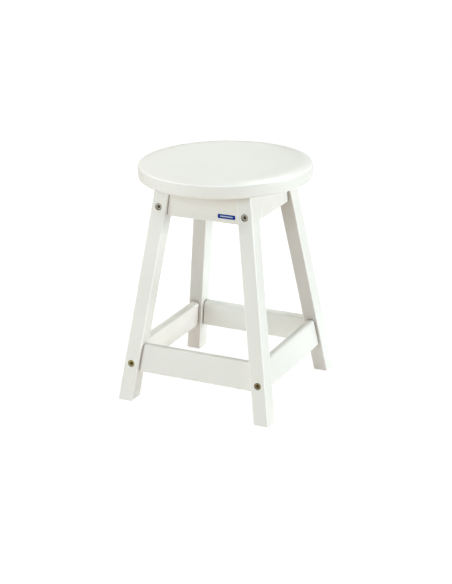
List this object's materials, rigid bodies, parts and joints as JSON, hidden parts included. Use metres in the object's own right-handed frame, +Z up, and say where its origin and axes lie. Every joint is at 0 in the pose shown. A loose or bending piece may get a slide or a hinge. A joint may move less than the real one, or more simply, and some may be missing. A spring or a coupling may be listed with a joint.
{
  "type": "round-seat wooden stool",
  "caption": "Low round-seat stool in painted solid wood: splayed square legs, upright aprons under the seat and a ring of stretchers near the floor, bolted together.",
  "frame": {"origin": "on the floor, under the middle of the seat", "axes": "+Z up; the front, which carries the label plate, faces -Y; the right side faces +X"},
  "size_m": [0.326, 0.326, 0.45],
  "materials": {
    "painted_wood": "white semi-gloss paint over close-grained softwood",
    "nickel_steel": "nickel-plated, satin",
    "yellow_zinc_steel": "yellow zinc-plated steel",
    "bare_beech": "bare hardwood",
    "blue_label": "plain blue, blank"
  },
  "bodies": {
    "root": {"seat": "painted_wood", "leg_front_left": "painted_wood", "leg_front_right": "painted_wood", "leg_rear_left": "painted_wood", "leg_rear_right": "painted_wood", "apron_front": "painted_wood", "apron_rear": "painted_wood", "apron_left": "painted_wood", "apron_right": "painted_wood", "stretcher_front": "painted_wood", "stretcher_rear": "painted_wood", "stretcher_left": "painted_wood", "stretcher_right": "painted_wood", "upper_bolts": "nickel_steel", "lower_bolts": "yellow_zinc_steel", "upper_barrel_nuts": "nickel_steel", "lower_barrel_nuts": "nickel_steel", "apron_dowels": "bare_beech", "stretcher_dowels": "bare_beech", "apron_locating_dowels": "bare_beech", "stretcher_locating_dowels": "bare_beech", "seat_screws": "nickel_steel", "label_plate": "blue_label"}
  },
  "joints": []
}
